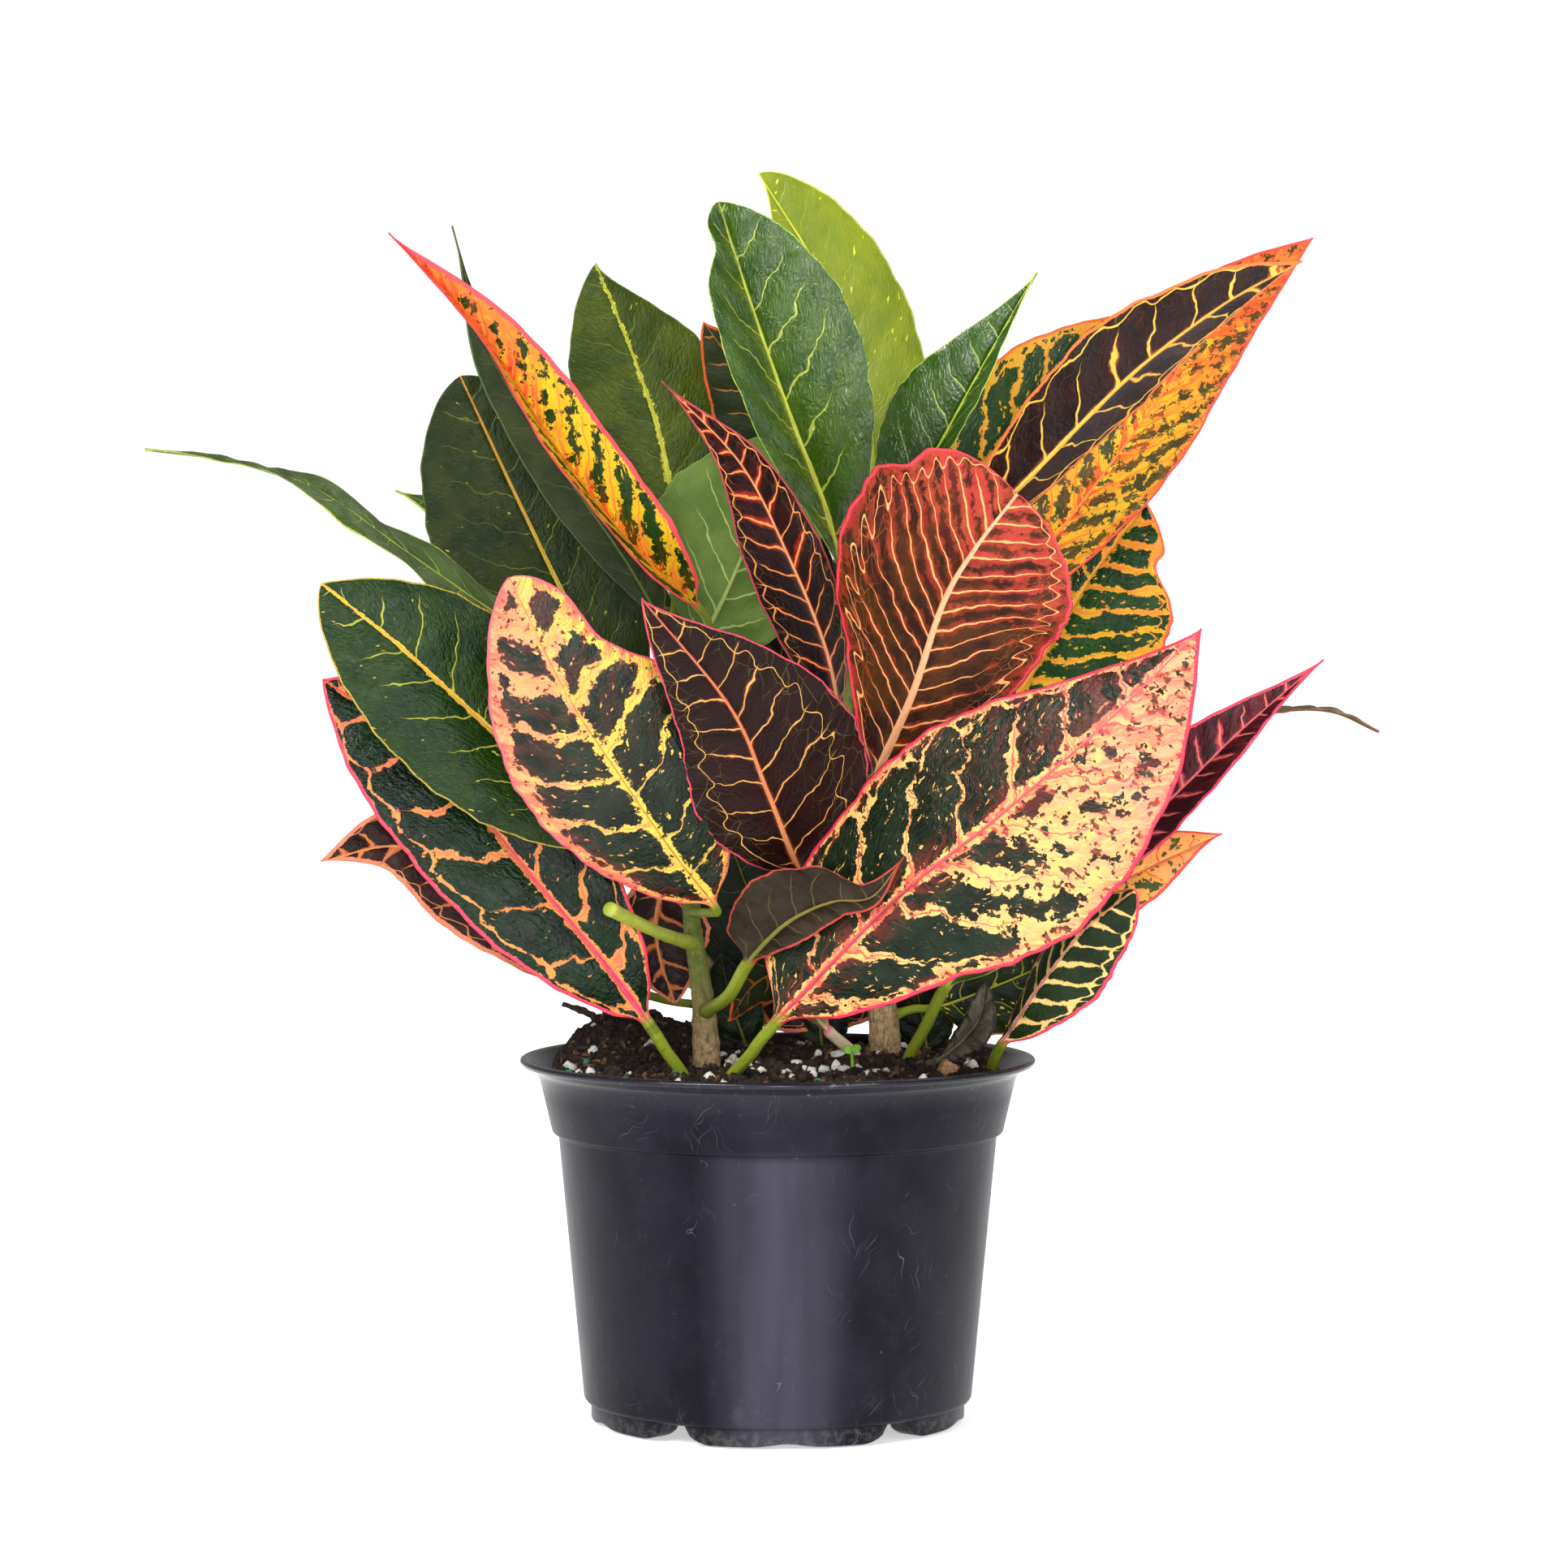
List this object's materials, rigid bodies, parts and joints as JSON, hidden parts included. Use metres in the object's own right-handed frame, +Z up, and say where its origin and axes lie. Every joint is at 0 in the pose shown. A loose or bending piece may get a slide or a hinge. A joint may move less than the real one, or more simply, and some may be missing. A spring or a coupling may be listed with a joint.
{
  "type": "potted croton plant",
  "caption": "Bushy variegated croton house plant with veined, curled leaves on woody stems, rooted in potting soil in a round black nursery pot.",
  "frame": {"origin": "centre of the pot on the surface that its feet stand on, under the middle of the whole plant", "axes": "+Z up along the pot's axis, +X to the right and +Y to the back as seen from the front"},
  "size_m": [0.384, 0.2407, 0.389],
  "materials": {
    "pot_plastic": "satin black with fine scuffs",
    "potting_soil": "crumbly dark peat with white grains",
    "stem_bark": "tan bark with leaf scars",
    "leaf_stalk": "smooth green stalk",
    "dead_wood": "dark dry twig",
    "pale_wood": "split wood",
    "seedling_green": "soft fresh green",
    "leaf_light_green": "glossy light green with yellow-green veins",
    "leaf_dark_green": "glossy dark green with yellow and orange veins",
    "leaf_flame": "yellow to orange with dark green islands and a red edge",
    "leaf_cream": "dark green with wide cream veins and a pink edge",
    "leaf_brown": "dark brown underside with a yellow net of veins",
    "leaf_rose": "wine red with a peach ladder of veins",
    "leaf_pale": "pale green underside",
    "leaf_dry": "grey-brown, dry and creased"
  },
  "bodies": {
    "root": {"pot": "pot_plastic", "soil": "potting_soil", "stem_a": "stem_bark", "stem_b": "stem_bark", "stem_c": "stem_bark", "cut_stalk": "leaf_stalk", "twig_in_soil": "dead_wood", "wood_chip": "pale_wood", "seedling": "seedling_green", "leaf_peach_front_right": "leaf_flame", "leaf_small_curled_front": "leaf_brown", "leaf_cream_front_left": "leaf_cream", "leaf_brown_centre": "leaf_brown", "leaf_rose_round": "leaf_rose", "leaf_burgundy_narrow": "leaf_rose", "leaf_glossy_green_top": "leaf_dark_green", "leaf_pale_green_tall": "leaf_light_green", "leaf_green_folded_right": "leaf_light_green", "leaf_dark_behind_top": "leaf_dark_green", "leaf_orange_net_right": "leaf_dark_green", "leaf_yellow_flame_right": "leaf_flame", "leaf_brown_ladder_right": "leaf_brown", "leaf_dark_net_right": "leaf_dark_green", "leaf_dull_green_left": "leaf_dark_green", "leaf_dark_green_left": "leaf_dark_green", "leaf_twisted_left": "leaf_dark_green", "leaf_flame_left": "leaf_flame", "leaf_pale_underside": "leaf_pale", "leaf_long_twisted_far_left": "leaf_light_green", "leaf_dark_green_mid_left": "leaf_dark_green", "leaf_pink_rib_low_left": "leaf_dark_green", "leaf_dusk_low_left": "leaf_brown", "leaf_green_tip_left": "leaf_light_green", "leaf_dark_drooping_centre": "leaf_brown", "leaf_arched_low_centre": "leaf_brown", "leaf_pale_fold_low_centre": "leaf_pale", "leaf_yellow_edge_low_right": "leaf_light_green", "leaf_dark_spotted_low_right": "leaf_dark_green", "leaf_cream_ladder_low_right": "leaf_cream", "leaf_inner_upper_centre": "leaf_dark_green", "leaf_inner_upper_right": "leaf_dark_green", "leaf_inner_lower_centre": "leaf_dark_green", "leaf_inner_low_behind": "leaf_brown", "leaf_wine_folded_right": "leaf_rose", "leaf_thin_far_right": "leaf_brown", "leaf_apricot_right": "leaf_flame", "leaf_back_01": "leaf_light_green", "leaf_back_02": "leaf_dark_green", "leaf_back_03": "leaf_brown", "leaf_back_04": "leaf_flame", "leaf_back_05": "leaf_dark_green", "leaf_back_06": "leaf_flame", "leaf_back_07": "leaf_rose", "leaf_back_08": "leaf_dark_green", "leaf_back_09": "leaf_dark_green", "leaf_back_10": "leaf_cream", "leaf_back_11": "leaf_rose", "leaf_back_12": "leaf_dark_green", "leaf_back_13": "leaf_light_green", "leaf_dry_curled_right": "leaf_dry"}
  },
  "joints": []
}
